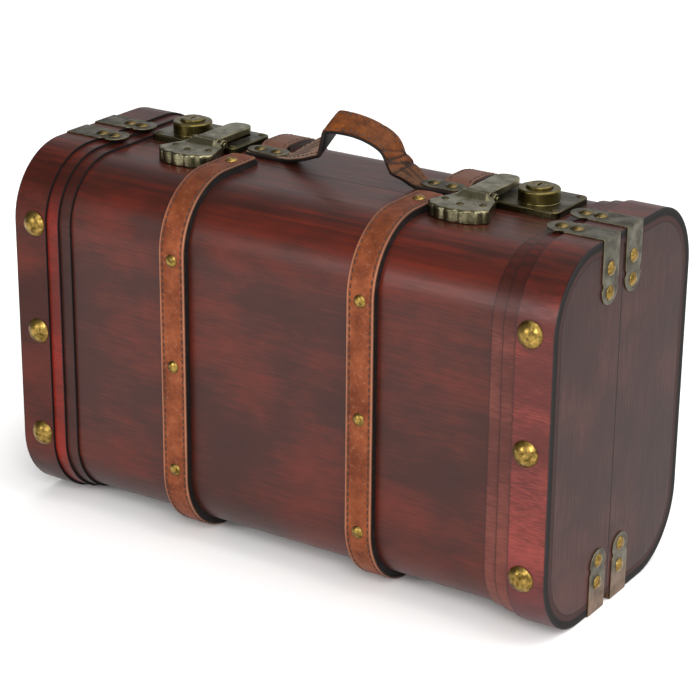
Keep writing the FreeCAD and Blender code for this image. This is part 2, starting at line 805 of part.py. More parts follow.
def add_shell(half):
    nails = nail_spots(half)
    nail = dome_nail(nail_head_radius, nail_head_height, nail_shank_radius, nail_shank_length)
    nodes[half.name + "_band_nails"] = seat_all(nail, nails)

    corners = [(name, side, place, up) for name, side in sides.items() for place, up in heights.items()]
    rivet = dome_nail(rivet_head_radius, rivet_head_height, rivet_shank_radius, rivet_shank_length)
    tack = rod(rivet_shank_radius, vec(0, 0, -rivet_shank_length), vec(0, 0, 0))
    rivets = []
    flat_spots = []
    end_spots = {name: [] for name in sides}
    for name, side, place, up in corners:
        flat = flat_rivet_spots(half, side, up)
        end = end_rivet_spots(half, side, up)
        piece = drill(place_bracket(half, side, up), flat + end, rivet_shank_radius, rivet_shank_length)
        nodes[f"{half.name}_bracket_{place}_{name}"] = piece
        rivets.extend(seat(rivet, spot) for spot in end)
        rivets.extend(seat(rivet if up > 0 else tack, spot) for spot in flat)
        flat_spots.extend(flat)
        end_spots[name].extend(end)
    nodes[half.name + "_bracket_rivets"] = group(rivets)

    def fastened(solid):
        solid = drill(solid, nails, nail_shank_radius, nail_shank_length)
        return drill(solid, flat_spots, rivet_shank_radius, rivet_shank_length)

    studs = []
    stud = dome_nail(stud_head_radius, stud_head_height, stud_shank_radius, stud_shank_length)
    backing_inset = band_height - backing_thickness
    for name, side in sides.items():
        spots = stud_spots(half, name)
        leather = strap_layer(half, side, backing_inset - leather_thickness, leather_thickness)
        backing = strap_layer(half, side, backing_inset, backing_thickness)
        nodes[f"{half.name}_strap_{name}"] = drill(leather, spots, stud_shank_radius, stud_shank_length)
        backing = drill(backing, spots, stud_shank_radius, stud_shank_length)
        nodes[f"{half.name}_strap_backing_{name}"] = backing
        studs.extend(spots)
    nodes[half.name + "_strap_studs"] = seat_all(stud, studs)

    leaves = []
    hinge_screws = []
    hinge_screw_length = hinge_leaf_thickness + screw_bite
    for side in sides.values():
        spots = hinge_screw_spots(half, side)
        leaves.append(drill(hinge_leaf(half, side), spots, screw_shank_radius, hinge_screw_length))
        hinge_screws.extend(spots)
    nodes[half.name + "_hinge_leaves"] = group(leaves)
    nodes[half.name + "_hinge_screws"] = seat_all(cross_screw(hinge_leaf_thickness), hinge_screws)

    skin = bent_layer(half, band_height, skin_thickness, -half_length, half_length,
                      parting_gap / 2, parting_gap / 2)
    skin = fastened(skin)
    skin = drill(skin, studs, stud_shank_radius, stud_shank_length)
    nodes[half.name + "_skin"] = drill(skin, hinge_screws, screw_shank_radius, hinge_screw_length)

    for name, side in sides.items():
        panel = drill(end_panel(half, side), end_spots[name], rivet_shank_radius, rivet_shank_length)
        nodes[f"{half.name}_end_panel_{name}"] = panel
        nodes[f"{half.name}_band_outer_{name}"] = fastened(band(half, side, 0, outer_band_edge))
    middle_plies = [band(half, side, 1, middle_band_edge) for side in sides.values()]
    base_plies = [band(half, side, 2, base_band_edge) for side in sides.values()]
    nodes[half.name + "_band_middle"] = group([fastened(ply) for ply in middle_plies])
    nodes[half.name + "_band_base"] = group([fastened(ply) for ply in base_plies])


def add_latches():
    lock_screws = []
    hasp_screws = []
    lock_screw_length = lock_case_height + screw_bite
    hasp_screw_length = hasp_thickness + screw_bite
    for name, side in sides.items():
        spots = hardware_spots(lock_screw_places(), side, lock_case_height)
        case = place_hardware(lock_case(), side)
        nodes[f"lock_case_{name}"] = drill(case, spots, screw_shank_radius, lock_screw_length)
        nodes[f"key_plug_{name}"] = place_hardware(key_plug(), side)
        nodes[f"lock_bolt_{name}"] = place_hardware(lock_bolt(), side)
        lock_screws.extend(spots)
        spots = hardware_spots(hasp_screw_places(), side, hasp_thickness)
        plate = place_hardware(hasp_plate(), side)
        nodes[f"hasp_plate_{name}"] = drill(plate, spots, screw_shank_radius, hasp_screw_length)
        nodes[f"hasp_lever_{name}"] = place_hardware(hasp_lever(), side)
        hasp_screws.extend(spots)
    nodes["hasp_pins"] = group([place_hardware(hasp_pin(), side) for side in sides.values()])
    nodes["lock_screws"] = seat_all(cross_screw(lock_case_height), lock_screws)
    nodes["hasp_screws"] = seat_all(cross_screw(hasp_thickness), hasp_screws)
    nodes["rear_skin"] = drill(nodes["rear_skin"], lock_screws, screw_shank_radius, lock_screw_length)
    nodes["lid_skin"] = drill(nodes["lid_skin"], hasp_screws, screw_shank_radius, hasp_screw_length)
    nodes["hinge_pins"] = group([hinge_pin(side) for side in sides.values()])


def add_handle():
    grip = handle_plate_thickness + handle_thickness + screw_bite
    spots = []
    for name, side in sides.items():
        places = handle_rivet_spots(side)
        nodes[f"handle_plate_{name}"] = drill(handle_plate(side), places, handle_rivet_shank, grip)
        spots.extend(places)
    rivet = dome_nail(handle_rivet_radius, handle_rivet_height, handle_rivet_shank, grip)
    nodes["handle_rivets"] = seat_all(rivet, spots)
    nodes["handle_strap"] = drill(handle_strap(), spots, handle_rivet_shank, grip)
    nodes["rear_skin"] = drill(nodes["rear_skin"], spots, handle_rivet_shank, grip)


def main():
    for half in halves:
        add_shell(half)
    add_latches()
    add_handle()
    os.makedirs("parts", exist_ok=True)
    for name, shape in nodes.items():
        shape.exportStep(f"parts/{name}.step")


main()
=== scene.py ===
import math
import random
from collections import namedtuple

import bmesh
import bpy
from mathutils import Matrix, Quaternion, Vector


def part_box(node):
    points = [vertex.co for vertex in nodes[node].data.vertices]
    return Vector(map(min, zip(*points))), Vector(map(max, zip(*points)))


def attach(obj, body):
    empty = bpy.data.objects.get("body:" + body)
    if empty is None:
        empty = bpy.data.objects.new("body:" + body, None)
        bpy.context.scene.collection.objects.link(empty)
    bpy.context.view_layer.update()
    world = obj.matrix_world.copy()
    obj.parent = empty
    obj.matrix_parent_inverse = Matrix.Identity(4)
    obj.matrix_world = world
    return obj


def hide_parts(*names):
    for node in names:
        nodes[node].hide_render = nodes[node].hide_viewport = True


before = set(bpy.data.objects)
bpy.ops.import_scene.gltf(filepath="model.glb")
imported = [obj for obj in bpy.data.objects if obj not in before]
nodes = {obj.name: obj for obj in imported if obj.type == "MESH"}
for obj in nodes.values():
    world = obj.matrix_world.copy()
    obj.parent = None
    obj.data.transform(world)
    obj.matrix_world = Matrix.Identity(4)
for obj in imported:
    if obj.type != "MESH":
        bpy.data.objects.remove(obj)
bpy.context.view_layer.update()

MM = 0.001

# Sizes that the case was drawn to, in millimetres
PARTING_Y = -5.0
FRONT_DEPTH = 92.0
REAR_DEPTH = 102.0
BODY_HEIGHT = 270.0
FLOOR_GAP = 1.0
BEND_RADIUS = 52.0
STRAP_UNDERSIDE = 2.1
HINGE_SETBACK = 4.2
STRAP_TOP_GAP = {"lid": 3.0, "rear": 37.75}
HARDWARE_SHIFT = -2.0
SKIN_TOP = 265.3
# Heights between which a painted red glow starts and stops, and the stain thickens and darkens as painted
# shade, over the upper bends
PAINTED_GLOW_STARTS = (185.0, 238.0)
PAINTED_GLOW_STOPS = (250.0, 264.0)
STAIN_AND_SHADE_THICKENS = (232.0, 262.0)
# Middle of the case, in metres
CASE_MIDDLE = (0.0, PARTING_Y * MM, (FLOOR_GAP + BODY_HEIGHT / 2) * MM)


# Materials

EDGE_BLACK = "#150d0c"
THICK_STAIN_AND_SHADE = "#240e0a"
BARE_INSIDE = "#5f4230"
BARE_SHADE = "#3c2a20"
HIDE_DIRT_AND_SHADE = "#20130c"
METAL_DIRT = "#15110a"


def linear(code):
    """An sRGB hex colour as linear RGBA."""
    shares = [int(code[at:at + 2], 16) / 255 for at in (1, 3, 5)]
    straight = [share / 12.92 if share <= 0.04045 else ((share + 0.055) / 1.055) ** 2.4 for share in shares]
    return straight + [1.0]


def add(tree, kind, inputs, **settings):
    """Adds a node with its settings. An input is a value, or the output that feeds it."""
    made = tree.nodes.new("ShaderNode" + kind)
    for name, value in settings.items():
        setattr(made, name, value)
    for key, value in inputs.items():
        if isinstance(value, bpy.types.NodeSocket):
            tree.links.new(value, made.inputs[key])
        else:
            made.inputs[key].default_value = value
    return made


def start(name):
    """A new material and its empty node tree."""
    material = bpy.data.materials.new(name)
    material.use_nodes = True
    material.node_tree.nodes.clear()
    return material, material.node_tree


def per_mm(along_x, along_y, along_z):
    """Scale of a pattern whose features have these sizes in millimetres."""
    return (1 / (along_x * MM), 1 / (along_y * MM), 1 / (along_z * MM))


def along_edges(tree, radius, begin, full, most):
    """The normal, rounded over the edges by a radius in mm, and a share that grows to most along them.
    Begin and full are how flat the face is where the share begins and is full."""
    rounded = add(tree, "Bevel", {"Radius": radius * MM}, samples=6)
    geometry = add(tree, "NewGeometry", {})
    flatness = add(tree, "VectorMath", {0: rounded.outputs[0], 1: geometry.outputs["Normal"]},
                   operation="DOT_PRODUCT")
    share = add(tree, "MapRange", {"Value": flatness.outputs["Value"], "From Min": begin, "From Max": full,
                                   "To Min": 0.0, "To Max": most})
    return rounded.outputs[0], share.outputs[0]


def stained_veneer(name, tones, grain, shine, painted_bend_glow=0.0, cut="#0d0807", others=(), cut_side=True):
    """Rotary-cut veneer, rubbed with red mahogany stain and a satin lacquer. The stain lies in dark and
    red clouds, the grain shows as fine dark lines, and the cut ply edges are painted dark. The tones
    are dark, warm and glow, and grain is the size of its lines in mm. Each of others gives an axis, where
    along it in mm the veneer begins to turn and has turned, and the tones beyond."""
    material, tree = start(name)
    coord = add(tree, "TexCoord", {})
    place = coord.outputs["Object"]
    facing = coord.outputs["Normal"]
    spot = add(tree, "SeparateXYZ", {"Vector": place})
    dark, warm, glow = [linear(tone) for tone in tones]
    for axis, begin, turned, beyond in others:
        past = add(tree, "MapRange", {"Value": spot.outputs[axis], "From Min": begin * MM,
                                      "From Max": turned * MM}, interpolation_type="SMOOTHSTEP")
        dark, warm, glow = [
            add(tree, "Mix", {0: past.outputs[0], 6: near, 7: linear(far)}, data_type="RGBA").outputs[2]
            for near, far in zip((dark, warm, glow), beyond)]
    # Grain lines, pores, streaks, clouds and broad clouds, with their sizes in mm
    patterns = []
    for sizes, detail, harshness in ((grain, 5.0, 0.65),
                                     ([size * 0.55 for size in grain], 2.0, 0.5),
                                     ([size * 5 for size in grain], 3.0, 0.5),
                                     ((52, 30, 30), 4.0, 0.6),
                                     ((150, 80, 80), 2.0, 0.5)):
        scaled = add(tree, "Mapping", {"Vector": place, "Scale": per_mm(*sizes)})
        noise = add(tree, "TexNoise", {"Vector": scaled.outputs[0], "Scale": 1.0, "Detail": detail,
                                       "Roughness": harshness})
        patterns.append(noise.outputs["Fac"])
    fine, pores, streaks, clouds, broad = patterns
    # A painted red glow lies along the upper bend; on the flat top the stain lies heavier, in streaks,
    # darkened as painted shade
    rise = add(tree, "MapRange", {"Value": spot.outputs["Z"], "From Min": PAINTED_GLOW_STARTS[0] * MM,
                                  "From Max": PAINTED_GLOW_STARTS[1] * MM, "To Min": 0.0, "To Max": painted_bend_glow},
               interpolation_type="SMOOTHSTEP")
    fall = add(tree, "MapRange", {"Value": spot.outputs["Z"], "From Min": PAINTED_GLOW_STOPS[0] * MM,
                                  "From Max": PAINTED_GLOW_STOPS[1] * MM, "To Min": 1.0, "To Max": -0.1},
               interpolation_type="SMOOTHSTEP")
    bend = add(tree, "Math", {0: rise.outputs[0], 1: fall.outputs[0]}, operation="MULTIPLY")
    cloud_sum = add(tree, "Math", {0: clouds, 1: broad}, operation="ADD")
    cloud_sum = add(tree, "Math", {0: cloud_sum.outputs[0], 1: bend.outputs[0]}, operation="ADD")
    cloud_share = add(tree, "MapRange", {"Value": cloud_sum.outputs[0], "From Min": 0.66, "From Max": 1.34})
    fine_share = add(tree, "MapRange", {"Value": fine, "From Min": 0.34, "From Max": 0.66})
    fine_part = add(tree, "Math", {0: fine_share.outputs[0], 1: 0.26}, operation="MULTIPLY")
    body_share = add(tree, "Math", {0: cloud_share.outputs[0], 1: 0.74, 2: fine_part.outputs[0]},
                     operation="MULTIPLY_ADD")
    wood = add(tree, "Mix", {0: body_share.outputs[0], 6: dark, 7: warm}, data_type="RGBA")
    glow_share = add(tree, "MapRange", {"Value": body_share.outputs[0], "From Min": 0.45, "From Max": 0.95})
    wood = add(tree, "Mix", {0: glow_share.outputs[0], 6: wood.outputs[2], 7: glow}, data_type="RGBA")
    streak_share = add(tree, "MapRange", {"Value": streaks, "From Min": 0.38, "From Max": 0.62,
                                          "To Min": 0.1, "To Max": 0.8})
    # Heavier stain in streaks on the flat top, partly real stain, partly painted shade against the light
    # from above
    thick_stain_and_shade = add(tree, "MapRange", {"Value": spot.outputs["Z"], "From Min": STAIN_AND_SHADE_THICKENS[0] * MM,
                                   "From Max": STAIN_AND_SHADE_THICKENS[1] * MM, "To Min": 0.0,
                                   "To Max": streak_share.outputs[0]}, interpolation_type="SMOOTHSTEP")
    wood = add(tree, "Mix", {0: thick_stain_and_shade.outputs[0], 6: wood.outputs[2], 7: linear(THICK_STAIN_AND_SHADE)},
               data_type="RGBA")
    pore_share = add(tree, "MapRange", {"Value": pores, "From Min": 0.60, "From Max": 0.74,
                                        "To Min": 0.0, "To Max": 0.3})
    wood = add(tree, "Mix", {0: pore_share.outputs[0], 6: wood.outputs[2], 7: linear(EDGE_BLACK)},
               data_type="RGBA")
    _, blackened = along_edges(tree, 1.8, begin=0.995, full=0.93, most=0.9)
    wood = add(tree, "Mix", {0: blackened, 6: wood.outputs[2], 7: linear(EDGE_BLACK)}, data_type="RGBA")
    satin = add(tree, "MapRange", {"Value": fine, "From Min": 0.3, "From Max": 0.7,
                                   "To Min": 0.44, "To Max": 0.32})
    rough = satin.outputs[0]
    if cut_side:
        side = add(tree, "SeparateXYZ", {"Vector": facing})
        side_size = add(tree, "Math", {0: side.outputs["X"]}, operation="ABSOLUTE")
        cut_edge = add(tree, "MapRange", {"Value": side_size.outputs[0], "From Min": 0.7, "From Max": 0.8})
        wood = add(tree, "Mix", {0: cut_edge.outputs[0], 6: wood.outputs[2], 7: linear(cut)},
                   data_type="RGBA")
        rough = add(tree, "Mix", {0: cut_edge.outputs[0], 2: rough, 3: 0.75}, data_type="FLOAT").outputs[0]
    # The inside shows bare wood: bent sheets have it along Y and Z, end panels along X
    outwards = add(tree, "VectorMath", {0: place, 1: CASE_MIDDLE}, operation="SUBTRACT")
    bent_or_end = (0.0, 1.0, 1.0) if cut_side else (1.0, 0.0, 0.0)
    outwards = add(tree, "VectorMath", {0: outwards.outputs[0], 1: bent_or_end}, operation="MULTIPLY")
    out_share = add(tree, "VectorMath", {0: outwards.outputs[0], 1: facing}, operation="DOT_PRODUCT")
    within = add(tree, "Math", {0: out_share.outputs["Value"], 1: -2 * MM}, operation="LESS_THAN")
    raw = add(tree, "Mix", {0: fine, 6: linear(BARE_SHADE), 7: linear(BARE_INSIDE)},
              data_type="RGBA")
    wood = add(tree, "Mix", {0: within.outputs[0], 6: wood.outputs[2], 7: raw.outputs[2]}, data_type="RGBA")
    rough = add(tree, "Mix", {0: within.outputs[0], 2: rough, 3: 0.7}, data_type="FLOAT")
    bump = add(tree, "Bump", {"Height": fine, "Strength": 0.35, "Distance": 0.12 * MM})
    shader = add(tree, "BsdfPrincipled", {"Base Color": wood.outputs[2], "Roughness": rough.outputs[0],
                                          "Normal": bump.outputs[0], "IOR": 1.45,
                                          "Specular IOR Level": shine})
    add(tree, "OutputMaterial", {"Surface": shader.outputs[0]})
    return material


def smooth_hide(name, dark, tan, light, rough, border, tinted):
    """Vegetable-tanned cowhide, dyed and waxed: smooth, with a faint pebble, with painted shade in its
    creases, darker at its edges, and paler where it is rubbed, such as outside the stitches by the share
    border.
    Each entry of the last argument gives an axis, where along it in mm the hide begins to turn to another
    colour and where it has turned, the share and the colour; some are painted light, some painted shade."""
    material, tree = start(name)
    coord = add(tree, "TexCoord", {})
    place = coord.outputs["Object"]
    across = add(tree, "Attribute", {}, attribute_name="across")
    clouds = add(tree, "TexNoise", {"Vector": place, "Scale": 1 / (13 * MM), "Detail": 4.0,
                                    "Roughness": 0.6})
    specks = add(tree, "TexNoise", {"Vector": place, "Scale": 1 / (2.6 * MM), "Detail": 3.0,
                                    "Roughness": 0.7})
    # The pebble of real hide is about 0.6 mm and is drawn at 1.5 mm, so that it shows
    pebble = add(tree, "TexVoronoi", {"Vector": place, "Scale": 1 / (1.5 * MM)}, feature="SMOOTH_F1")
    cloud_share = add(tree, "MapRange", {"Value": clouds.outputs["Fac"], "From Min": 0.34, "From Max": 0.66})
    hide = add(tree, "Mix", {0: cloud_share.outputs[0], 6: linear(dark), 7: linear(tan)}, data_type="RGBA")
    rub = add(tree, "MapRange", {"Value": specks.outputs["Fac"], "From Min": 0.56, "From Max": 0.80,
                                 "To Min": 0.0, "To Max": 0.45})
    hide = add(tree, "Mix", {0: rub.outputs[0], 6: hide.outputs[2], 7: linear(light)}, data_type="RGBA")
    outside = add(tree, "MapRange", {"Value": across.outputs["Fac"], "From Min": 0.84, "From Max": 0.90,
                                     "To Min": 0.0, "To Max": border})
    hide = add(tree, "Mix", {0: outside.outputs[0], 6: hide.outputs[2], 7: linear(light)},
               data_type="RGBA")
    spot = add(tree, "SeparateXYZ", {"Vector": place})
    for axis, begin, turned, tint_share, colour in tinted:
        past = add(tree, "MapRange", {"Value": spot.outputs[axis], "From Min": begin * MM,
                                      "From Max": turned * MM, "To Min": 0.0, "To Max": tint_share},
                   interpolation_type="SMOOTHSTEP")
        hide = add(tree, "Mix", {0: past.outputs[0], 6: hide.outputs[2], 7: linear(colour)},
                   data_type="RGBA")
    # Painted shade in the creases of the hide, as deep as they are sunk
    crease_shade = add(tree, "Attribute", {}, attribute_name="crease_shade")
    darkening = add(tree, "Math", {0: crease_shade.outputs["Fac"], 1: 0.95}, operation="MULTIPLY")
    hide = add(tree, "Mix", {0: darkening.outputs[0], 6: hide.outputs[2], 7: linear(HIDE_DIRT_AND_SHADE)},
               data_type="RGBA")
    edge = add(tree, "MapRange", {"Value": across.outputs["Fac"], "From Min": 0.95, "From Max": 1.0,
                                  "To Min": 0.0, "To Max": 0.8})
    hide = add(tree, "Mix", {0: edge.outputs[0], 6: hide.outputs[2], 7: linear(HIDE_DIRT_AND_SHADE)},
               data_type="RGBA")
    relief = add(tree, "Math", {0: pebble.outputs["Distance"], 1: 0.5, 2: specks.outputs["Fac"]},
                 operation="MULTIPLY_ADD")
    bump = add(tree, "Bump", {"Height": relief.outputs[0], "Strength": 0.4, "Distance": 0.25 * MM})
    gloss = add(tree, "MapRange", {"Value": clouds.outputs["Fac"], "From Min": 0.3, "From Max": 0.7,
                                   "To Min": rough + 0.08, "To Max": rough - 0.06})
    shader = add(tree, "BsdfPrincipled", {"Base Color": hide.outputs[2], "Roughness": gloss.outputs[0],
                                          "Normal": bump.outputs[0], "IOR": 1.45,
                                          "Specular IOR Level": 0.14})
    add(tree, "OutputMaterial", {"Surface": shader.outputs[0]})
    return material


def painted(name, colour, worn, rough):
    """Brushed black paint on wood or hide, rubbed thin in places."""
    material, tree = start(name)
    coord = add(tree, "TexCoord", {})
    clouds = add(tree, "TexNoise", {"Vector": coord.outputs["Object"], "Scale": 1 / (5 * MM),
                                    "Detail": 5.0, "Roughness": 0.65})
    share = add(tree, "MapRange", {"Value": clouds.outputs["Fac"], "From Min": 0.52, "From Max": 0.74})
    paint = add(tree, "Mix", {0: share.outputs[0], 6: linear(colour), 7: linear(worn)}, data_type="RGBA")
    bump = add(tree, "Bump", {"Height": clouds.outputs["Fac"], "Strength": 0.4, "Distance": 0.2 * MM})
    shader = add(tree, "BsdfPrincipled", {"Base Color": paint.outputs[2], "Roughness": rough,
                                          "Normal": bump.outputs[0], "Specular IOR Level": 0.35})
    add(tree, "OutputMaterial", {"Surface": shader.outputs[0]})
    return material


def aged_metal(name, deep, body, bright, rough, patch, dent, wear, other=None):
    """Cast or pressed metal, bronzed dark and rubbed back: dark in the hollows, bright along the edges,
    cloudy on the flats. Patch and dent are the sizes of its clouds and its grit in mm, and wear is how far
    its edges are rubbed. Other gives a second colour and the heights in mm between which it sets in."""
    material, tree = start(name)
    coord = add(tree, "TexCoord", {})
    place = coord.outputs["Object"]
    clouds = add(tree, "TexNoise", {"Vector": place, "Scale": 1 / (patch * MM), "Detail": 5.0,
                                    "Roughness": 0.62})
    grit = add(tree, "TexNoise", {"Vector": place, "Scale": 1 / (dent * MM), "Detail": 3.0})
    cloud_share = add(tree, "MapRange", {"Value": clouds.outputs["Fac"], "From Min": 0.36, "From Max": 0.64})
    metal = add(tree, "Mix", {0: cloud_share.outputs[0], 6: linear(deep), 7: linear(body)}, data_type="RGBA")
    if other:
        colour, near, far = other
        height = add(tree, "SeparateXYZ", {"Vector": place})
        past = add(tree, "MapRange", {"Value": height.outputs["Z"], "From Min": near * MM,
                                      "From Max": far * MM})
        bare = add(tree, "Math", {0: cloud_share.outputs[0], 1: 0.5, 2: 0.5}, operation="MULTIPLY_ADD")
        bare = add(tree, "Math", {0: past.outputs[0], 1: bare.outputs[0]}, operation="MULTIPLY")
        metal = add(tree, "Mix", {0: bare.outputs[0], 6: metal.outputs[2], 7: linear(colour)},
                    data_type="RGBA")
    rounded, edge = along_edges(tree, 0.9, begin=0.985, full=0.90, most=wear)
    worn = add(tree, "Math", {0: edge, 1: grit.outputs["Fac"]}, operation="MULTIPLY")
    worn = add(tree, "Math", {0: worn.outputs[0], 1: 1.7}, operation="MULTIPLY", use_clamp=True)
    metal = add(tree, "Mix", {0: worn.outputs[0], 6: metal.outputs[2], 7: linear(bright)}, data_type="RGBA")
    hollow = add(tree, "AmbientOcclusion", {"Distance": 4 * MM}, samples=6, only_local=True)
    shade = add(tree, "MapRange", {"Value": hollow.outputs["AO"], "From Min": 0.35, "From Max": 0.85,
                                   "To Min": 0.65, "To Max": 0.0})
    metal = add(tree, "Mix", {0: shade.outputs[0], 6: metal.outputs[2], 7: linear(METAL_DIRT)},
                data_type="RGBA")
    gloss = add(tree, "MapRange", {"Value": clouds.outputs["Fac"], "From Min": 0.35, "From Max": 0.65,
                                   "To Min": rough + 0.12, "To Max": rough - 0.05})
    bump = add(tree, "Bump", {"Height": grit.outputs["Fac"], "Strength": 0.35, "Distance": 0.25 * MM,
                              "Normal": rounded})
    shader = add(tree, "BsdfPrincipled", {"Base Color": metal.outputs[2], "Roughness": gloss.outputs[0],
                                          "Metallic": 1.0, "Normal": bump.outputs[0]})
    add(tree, "OutputMaterial", {"Surface": shader.outputs[0]})
    return material


def waxed_thread(name, colour, tinted):
    """Waxed linen thread of about 1 mm, browned by handling: dull and dark, with a faint slanting swell.
    The swell stands for the twist and is drawn coarser than a real one."""
    material, tree = start(name)
    coord = add(tree, "TexCoord", {})
    twist = add(tree, "TexWave", {"Vector": coord.outputs["Object"], "Scale": 1 / (14 * MM),
                                  "Distortion": 1.0}, bands_direction="DIAGONAL")
    darkening = add(tree, "TexNoise", {"Vector": coord.outputs["Object"], "Scale": 1 / (9 * MM), "Detail": 3.0})
    thread = add(tree, "Mix", {0: darkening.outputs["Fac"], 6: linear(colour), 7: linear(tinted)},
                 data_type="RGBA")
    bump = add(tree, "Bump", {"Height": twist.outputs["Fac"], "Strength": 0.5, "Distance": 0.1 * MM})
    shader = add(tree, "BsdfPrincipled", {"Base Color": thread.outputs[2], "Roughness": 0.7,
                                          "Normal": bump.outputs[0]})
    add(tree, "OutputMaterial", {"Surface": shader.outputs[0]})
    return material


# Sheets of the shells: satin red-brown, streaked, with a painted red glow along the upper bends and heavier
# stain with painted shade on the top
shell_veneer = stained_veneer("mahogany_veneer_shell", ("#290e08", "#40160c", "#571b0e"),
                              grain=(26, 0.9, 0.9), shine=0.34, painted_bend_glow=0.16, cut="#2d1510")
# End panels: duller, with an even upright grain
end_veneer = stained_veneer("mahogany_veneer_end_panel", ("#220f0c", "#381b17", "#44231e"),
                            grain=(1.3, 1.3, 40), shine=0.12, cut_side=False)
# Outer band on the right: paler red than the left one between the bend and the foot, with painted shade over
# the bend and darker towards the foot
band_veneer_right = stained_veneer("mahogany_veneer_band_right", ("#37120e", "#6e2b24", "#8b3932"),
                                   grain=(9, 1.1, 1.1), shine=0.32,
                                   others=(("Z", 222, 256, ("#32110a", "#54190d", "#6b1d0f")),
                                           ("Z", 80, 22, ("#2b1011", "#43191a", "#522122"))))
# Outer band on the left: dark, darker than the one on the right
band_veneer_left = stained_veneer("mahogany_veneer_band_left", ("#280e09", "#44180f", "#551e12"),
                                  grain=(20, 1.0, 1.0), shine=0.2)
# Middle plies of the banding: bright red on the left, duller brown on the right, and painted shade over the
# bend
step_veneer_middle = stained_veneer("mahogany_veneer_middle_ply", ("#46120a", "#6a190e", "#7c1c0e"),
                                    grain=(12, 1.2, 1.2), shine=0.24,
                                    others=(("X", -20, 20, ("#3b1a14", "#5f3029", "#703a30")),
                                            ("Z", 220, 254, ("#2b0f0a", "#43150d", "#521a10"))))
# Base plies of the banding: dark brown on the left, paler on the right, and painted shade over the bend
step_veneer_base = stained_veneer("mahogany_veneer_base_ply", ("#26110d", "#3b1b15", "#472018"),
                                  grain=(12, 1.2, 1.2), shine=0.24,
                                  others=(("X", -20, 20, ("#3c1c16", "#5f3029", "#6f3c31")),
                                          ("Z", 220, 254, ("#290f0a", "#3d160e", "#4a190f"))))
# Strips under the straps: flat black in front, browned behind
black_backing = painted("black_painted_strip", "#0e0a09", "#2a1d18", rough=0.55)
rear_backing = painted("brown_black_painted_strip", "#211510", "#3a271e", rough=0.6)
# Straps: red-brown hide with a pale border, darker towards the top; on the rear straps the top is a painted
# sheen of dull grey-brown
strap_hide = smooth_hide("waxed_cowhide_strap", "#582813", "#7d4124", "#a3745c", rough=0.48,
                         border=0.5, tinted=[("Z", 238, 268, 0.5, "#331a10")])
rear_strap_hide = smooth_hide("waxed_cowhide_rear_strap", "#582813", "#7d4124", "#a3745c", rough=0.48,
                              border=0.5, tinted=[("Z", 240, 264, 0.9, "#553c31")])
# Handle: orange-brown on the grip, with painted shade on its low parts near the plates and a painted pale
# grey-brown light on the left slope, where the riser shades it
handle_hide = smooth_hide("waxed_cowhide_handle", "#40200a", "#6a360f", "#8c5c30", rough=0.52, border=0.0,
                          tinted=[("Z", 286, 272, 0.6, "#47301f"), ("X", -18, -24, 0.75, "#806a5c")])
# Backs and cut edges of the hide: black in front, browned behind
hide_edge = painted("blackened_hide_edge", "#120d0b", "#261812", rough=0.55)
rear_hide_edge = painted("browned_hide_edge", "#2a1a14", "#3f2a20", rough=0.6)
# Thread, nearly as dark as the darkest hide
strap_thread = waxed_thread("waxed_linen_thread_strap", "#38200f", "#190d07")
handle_thread = waxed_thread("waxed_linen_thread_handle", "#4a2e1b", "#24140a")
# Nails and studs: dull gold with dark blotches
nail_brass = aged_metal("antique_brass_nail", "#4c3c1b", "#a48746", "#d6bd82",
                        rough=0.34, patch=3.5, dent=1.8, wear=0.3)
# The rivets of the end legs are rubbed to the brass, those on the top are still bronzed
rivet_brass = aged_metal("bronzed_rivet", "#5a4720", "#9a7d43", "#c9ae70",
                         rough=0.30, patch=4, dent=1.8, wear=0.3, other=("#463f2c", 264, 266))
# Brackets and handle plates: grey-green bronzing, rusty at the foot
bracket_bronze = aged_metal("bronzed_steel_bracket", "#3d3a30", "#635f51", "#8f8262",
                            rough=0.44, patch=11, dent=1.6, wear=0.6, other=("#7a6150", 24, 12))
# Hasps: the palest casting, with rubbed edges
hasp_bronze = aged_metal("antique_bronze_hasp", "#504b36", "#807a60", "#c9bb8c",
                         rough=0.28, patch=9, dent=1.6, wear=0.6)
# Locks: dark bronze, and the cylinder bosses on them are rubbed golden
lock_bronze = aged_metal("antique_bronze_lock", "#322e1e", "#534c34", "#bba76c",
                         rough=0.32, patch=10, dent=1.4, wear=0.8, other=("#655a30", 270.6, 271.6))
# Screws as dark as the locks, hinges of plain aged brass, and pins and bolts of bare steel
screw_brass = aged_metal("bronzed_screw", "#2c2719", "#4b432b", "#7d6f48",
                         rough=0.42, patch=4, dent=1.2, wear=0.3)
hinge_brass = aged_metal("antique_brass_hinge", "#574a28", "#86733f", "#b79c60",
                         rough=0.38, patch=9, dent=1.6, wear=0.8)
pin_steel = aged_metal("plain_steel_pin", "#77736c", "#a19d96", "#c8c5be",
                       rough=0.30, patch=8, dent=1.0, wear=0.4)

# A node takes the first finish whose words are in its name; the last one fits every name
FINISHES = (
    ("_skin", shell_veneer),
    ("end_panel", end_veneer),
    ("band_outer_right", band_veneer_right),
    ("band_outer_left", band_veneer_left),
    ("band_middle", step_veneer_middle),
    ("band_base", step_veneer_base),
    ("lid_strap_backing", black_backing),
    ("rear_strap_backing", rear_backing),
    ("_nails", nail_brass),
    ("_studs", nail_brass),
    ("_rivets", rivet_brass),
    ("bracket", bracket_bronze),
    ("handle_plate", bracket_bronze),
    ("_screws", screw_brass),
    ("hinge_leaves", hinge_brass),
    ("hinge_pin", pin_steel),
    ("lock_bolt", pin_steel),
    ("hasp", hasp_bronze),
    ("", lock_bronze),
)

for name, piece in nodes.items():
    piece.data.materials.clear()
    piece.data.materials.append(next(finish for words, finish in FINISHES if words in name))


# Hasps, whose cast edges are rounder than the plain solids

CAST_ROUNDS = 6
CAST_FACTOR = 0.5
PLATE_GRID = 0.55
PLATE_SHARP_BELOW = 266.0
LEVER_GRID = 0.4
LEVER_SHARP_BELOW = 272.0


